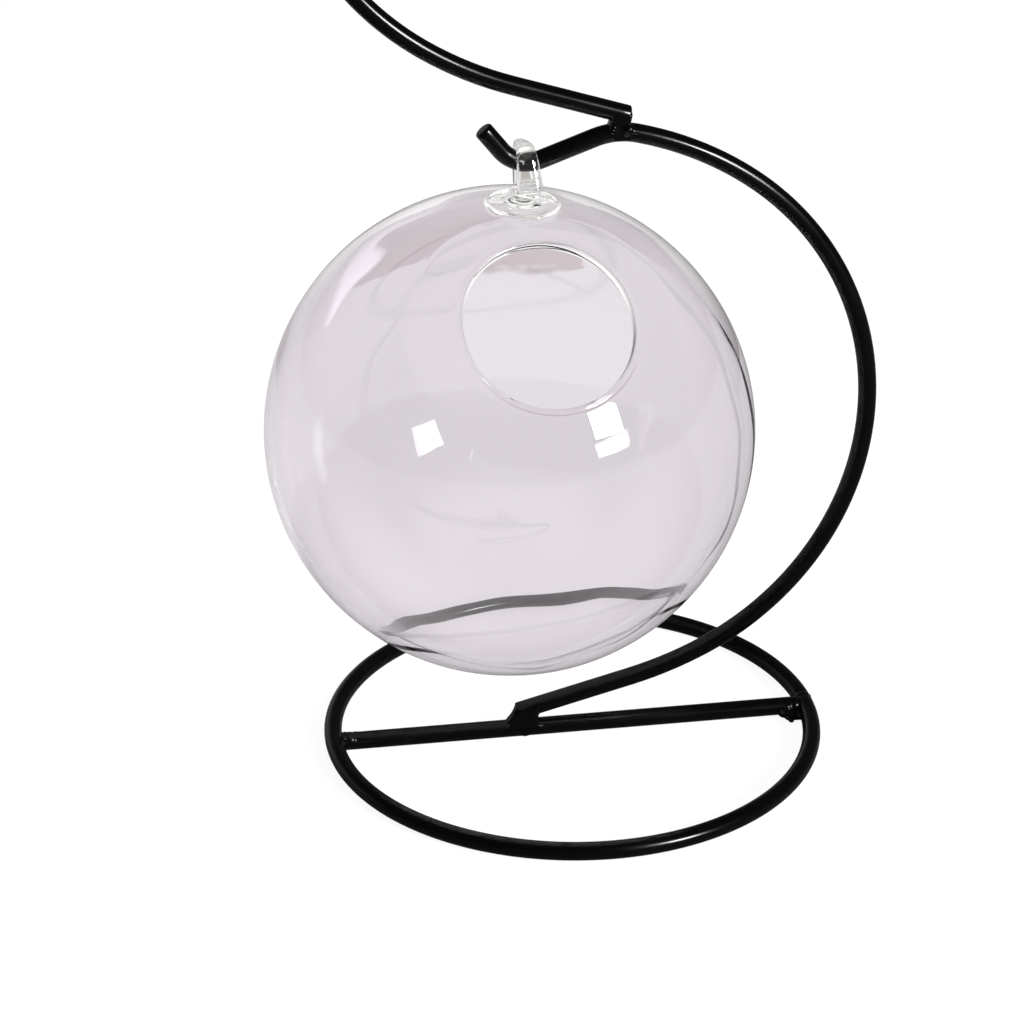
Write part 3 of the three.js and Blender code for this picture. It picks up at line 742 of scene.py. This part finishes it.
def makeFloor():
    look = floorLook
    bm = bmesh.new()
    bmesh.ops.create_grid(bm, x_segments=1, y_segments=1, size=look["size"])
    bmesh.ops.translate(bm, verts=bm.verts, vec=(0, 0, look["depth"]))
    floor = toObject("floor", bm)
    material, tree = nodeTree("paleFloor")
    place = addNode(tree, "ShaderNodeTexCoord").outputs["Object"]
    split = addNode(tree, "ShaderNodeSeparateXYZ")
    tree.links.new(place, split.inputs[0])
    x, y = split.outputs["X"], split.outputs["Y"]
    # The edge of the painted shade is ragged, and it comes nearer in a middle strip.
    roughEdge = noiseOn(tree, place, look["raggedScale"], 2)
    ragged = remap(tree, roughEdge, *look["raggedRange"], -look["ragged"], look["ragged"])
    middle = maths(tree, "SUBTRACT", stepUp(tree, x, look["middle"][0], look["middleSoft"]),
                   stepUp(tree, x, look["middle"][1], look["middleSoft"]))
    nearer = maths(tree, "MULTIPLY", middle, look["middleNearer"])
    depth = maths(tree, "ADD", maths(tree, "ADD", y, ragged), nearer)
    slanted = maths(tree, "SUBTRACT", x, maths(tree, "MULTIPLY", y, look["sideSlant"]))
    side = stepUp(tree, slanted, look["sideStart"], look["sideSoft"])
    # Painted light: in a strip far behind and left of the vase, the floor seen through glass glows brighter
    # than white.
    pastOuter = stepUp(tree, x, look["outerStart"], look["edgeSoft"])
    outside = mixColours(tree, pastOuter, look["outer"], look["beside"])
    pastSide = stepUp(tree, y, look["besideStart"], look["edgeSoft"])
    besideTint = mixColours(tree, pastSide, look["near"], outside)
    # Painted shade: seen through glass, past farStart behind the vase the floor turns to the darker far tint.
    # The tint fades lighter further back and fades out to the right.
    paintedShade = mixColours(tree, remap(tree, y, *look["fade"], 0, 1), look["far"], look["fadedShade"])
    paintedShade = mixColours(tree, remap(tree, x, *look["right"], 0, 1), paintedShade, look["near"])
    behind = stepUp(tree, depth, look["farStart"], look["edgeSoft"])
    shadeTint = mixColours(tree, behind, look["near"], paintedShade)
    tint = mixColours(tree, side, besideTint, shadeTint)
    path = addNode(tree, "ShaderNodeLightPath")
    camera = path.outputs["Is Camera Ray"]
    # Painted reflection: glossy rays see the floor glowing faintly, and strongly in a patch at the left
    # behind.
    left = maths(tree, "MULTIPLY", remap(tree, x, *look["leftFrom"], 0, 1),
                 remap(tree, y, *look["leftPast"], 0, 1))
    paintedReflection = maths(tree, "MULTIPLY", path.outputs["Is Glossy Ray"],
                     remap(tree, left, 0, 1, look["mirror"], look["paintedReflectionLeft"]))
    shown = maths(tree, "MAXIMUM", maths(tree, "MAXIMUM", camera, paintedReflection), throughGlass(tree, path))
    glow = addNode(tree, "ShaderNodeEmission")
    tree.links.new(mixColours(tree, camera, tint, look["white"]), glow.inputs["Color"])
    tree.links.new(shown, glow.inputs["Strength"])
    matte = addNode(tree, "ShaderNodeBsdfDiffuse")
    matte.inputs["Color"].default_value = look["matte"]
    both = addNode(tree, "ShaderNodeAddShader")
    tree.links.new(matte.outputs["BSDF"], both.inputs[0])
    tree.links.new(glow.outputs["Emission"], both.inputs[1])
    out = addNode(tree, "ShaderNodeOutputMaterial")
    tree.links.new(both.outputs["Shader"], out.inputs["Surface"])
    floor.data.materials.append(material)


def makeRoom():
    look = roomLook
    world = bpy.data.worlds.new("studio")
    bpy.context.scene.world = world
    world.use_nodes = True
    tree = world.node_tree
    tree.nodes.clear()
    way = addNode(tree, "ShaderNodeTexCoord").outputs["Generated"]
    split = addNode(tree, "ShaderNodeSeparateXYZ")
    tree.links.new(way, split.inputs[0])
    x, y, z = (split.outputs[axis] for axis in "XYZ")
    path = addNode(tree, "ShaderNodeLightPath")
    lowBehind = maths(tree, "MULTIPLY", remap(tree, z, *look["behindLow"], 1, 0),
                      remap(tree, y, *look["behindBack"], 0, 1))
    lowBehind = maths(tree, "MULTIPLY", lowBehind, remap(tree, x, *look["behindLeft"], 1, 0))
    mirror = mixColours(tree, lowBehind, look["mirror"], look["mirrorBehind"])
    rising = remap(tree, z, *look["throughRise"], 0, 1)
    high = mixColours(tree, rising, look["throughLow"], look["throughHigh"])
    shown = maths(tree, "MAXIMUM", remap(tree, y, *look["frontEnd"], 0, 1),
                  remap(tree, z, *look["overhead"], 0, 1))
    through = mixColours(tree, shown, look["throughFront"], high)
    seen = mixColours(tree, path.outputs["Is Glossy Ray"], look["diffuse"], mirror)
    seen = mixColours(tree, throughGlass(tree, path), seen, through)
    roomLight = addNode(tree, "ShaderNodeBackground")
    tree.links.new(seen, roomLight.inputs["Color"])
    white = addNode(tree, "ShaderNodeBackground")
    white.inputs["Color"].default_value = (1, 1, 1, 1)
    either = addNode(tree, "ShaderNodeMixShader")
    tree.links.new(path.outputs["Is Camera Ray"], either.inputs[0])
    tree.links.new(roomLight.outputs[0], either.inputs[1])
    tree.links.new(white.outputs[0], either.inputs[2])
    out = addNode(tree, "ShaderNodeOutputWorld")
    tree.links.new(either.outputs[0], out.inputs["Surface"])


makeFloor()
makeRoom()
makeSoftbox("softbox", softbox)
bpy.context.scene.view_settings.view_transform = "Standard"
print("studio lit")
